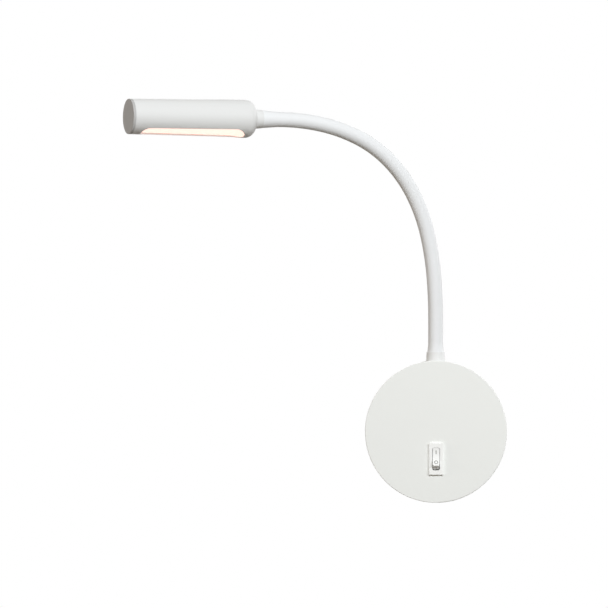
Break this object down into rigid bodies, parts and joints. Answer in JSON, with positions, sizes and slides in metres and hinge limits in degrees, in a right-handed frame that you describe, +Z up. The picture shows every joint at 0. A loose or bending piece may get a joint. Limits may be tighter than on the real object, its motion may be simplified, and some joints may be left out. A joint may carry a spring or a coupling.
{
  "type": "flexible wall light",
  "caption": "White wall reading light: round base with a rocker switch, bendable sleeved neck and tubular head with a lit slot along its underside.",
  "frame": {"origin": "centre of the base's back on the wall, midway between the two fixing slots", "axes": "+Z up the wall, +Y into the wall, -Y into the room, -X towards the side the head bends to in the picture"},
  "size_m": [0.2689, 0.1027, 0.2825],
  "materials": {
    "white_paint": "satin",
    "sleeve": "satin",
    "switch_white": "gloss",
    "opal": "satin",
    "bracket_steel": "satin",
    "core_steel": "satin",
    "zinc": "satin",
    "brass": "satin",
    "heat_sink": "satin",
    "moulded_grey": "matte",
    "bush": "matte",
    "lead": "matte",
    "brown_wire": "satin",
    "blue_wire": "satin",
    "earth_wire": "satin",
    "red_wire": "satin",
    "board": "satin",
    "chip": "gloss"
  },
  "bodies": {
    "base": {"wall_bracket": "bracket_steel", "cable_bush": "bush", "base_cover": "white_paint", "cover_screws": "zinc", "switch_housing": "switch_white", "switch_terminals": "brass", "driver_case": "moulded_grey", "driver_screws": "zinc", "terminal_block": "moulded_grey", "terminal_screws": "brass", "block_screws": "zinc", "earth_screw": "brass", "earth_washer": "zinc", "live_wire": "brown_wire", "switched_wire": "brown_wire", "neutral_wire": "blue_wire", "earth_wire": "earth_wire", "driver_lead": "lead", "base_fitting": "white_paint", "base_washer": "zinc", "base_nut": "zinc", "neck_sleeve_0": "sleeve", "neck_core_0": "core_steel", "neck_lead_0": "lead"},
    "rocker": {"switch_rocker": "switch_white"},
    "neck_1": {"neck_sleeve_1": "sleeve", "neck_core_1": "core_steel", "neck_lead_1": "lead"},
    "neck_2": {"neck_sleeve_2": "sleeve", "neck_core_2": "core_steel", "neck_lead_2": "lead"},
    "neck_3": {"neck_sleeve_3": "sleeve", "neck_core_3": "core_steel", "neck_lead_3": "lead"},
    "neck_4": {"neck_sleeve_4": "sleeve", "neck_core_4": "core_steel", "neck_lead_4": "lead"},
    "neck_5": {"neck_sleeve_5": "sleeve", "neck_core_5": "core_steel", "neck_lead_5": "lead"},
    "neck_6": {"neck_sleeve_6": "sleeve", "neck_core_6": "core_steel", "neck_lead_6": "lead"},
    "neck_7": {"neck_sleeve_7": "sleeve", "neck_core_7": "core_steel", "neck_lead_7": "lead"},
    "head": {"neck_sleeve_8": "sleeve", "neck_core_8": "core_steel", "neck_lead_8": "lead", "head_fitting": "white_paint", "head_washer": "zinc", "head_nut": "zinc", "head_shell": "white_paint", "end_cap": "white_paint", "led_carrier": "heat_sink", "led_board": "board", "led_chips": "chip", "board_screws": "zinc", "head_wires": "red_wire", "diffuser": "opal"}
  },
  "joints": [
    {"name": "rocker_tilt", "type": "hinge", "parent": "base", "child": "rocker", "pos_m": [0, -0.0226, -0.0191], "axis": [1, 0, 0], "range_deg": [0, 28]},
    {"name": "neck_bend_1", "type": "hinge", "parent": "base", "child": "neck_1", "pos_m": [0, -0.013, 0.0798], "axis": [0.342, -0.9397, 0], "range_deg": [-25, 30]},
    {"name": "neck_sway_2", "type": "hinge", "parent": "neck_1", "child": "neck_2", "pos_m": [-0.00121, -0.01344, 0.10926], "axis": [-0.9361, -0.3407, -0.0872], "range_deg": [-30, 8]},
    {"name": "neck_bend_3", "type": "hinge", "parent": "neck_2", "child": "neck_3", "pos_m": [-0.00566, -0.01506, 0.13835], "axis": [0.342, -0.9397, 0], "range_deg": [-30, 30]},
    {"name": "neck_sway_4", "type": "hinge", "parent": "neck_3", "child": "neck_4", "pos_m": [-0.01534, -0.01858, 0.16592], "axis": [0.8335, 0.3034, 0.4617], "range_deg": [-8, 30]},
    {"name": "neck_bend_5", "type": "hinge", "parent": "neck_4", "child": "neck_5", "pos_m": [-0.03167, -0.02453, 0.18961], "axis": [0.342, -0.9397, 0], "range_deg": [-30, 30]},
    {"name": "neck_sway_6", "type": "hinge", "parent": "neck_5", "child": "neck_6", "pos_m": [-0.0542, -0.03273, 0.20656], "axis": [-0.4045, -0.1472, -0.9026], "range_deg": [-30, 15]},
    {"name": "neck_bend_7", "type": "hinge", "parent": "neck_6", "child": "neck_7", "pos_m": [-0.08042, -0.04227, 0.21589], "axis": [0.342, -0.9397, 0], "range_deg": [-30, 30]},
    {"name": "neck_sway_8", "type": "hinge", "parent": "neck_7", "child": "head", "pos_m": [-0.10795, -0.05229, 0.21897], "axis": [0.0082, 0.003, 1], "range_deg": [-30, 30]}
  ]
}
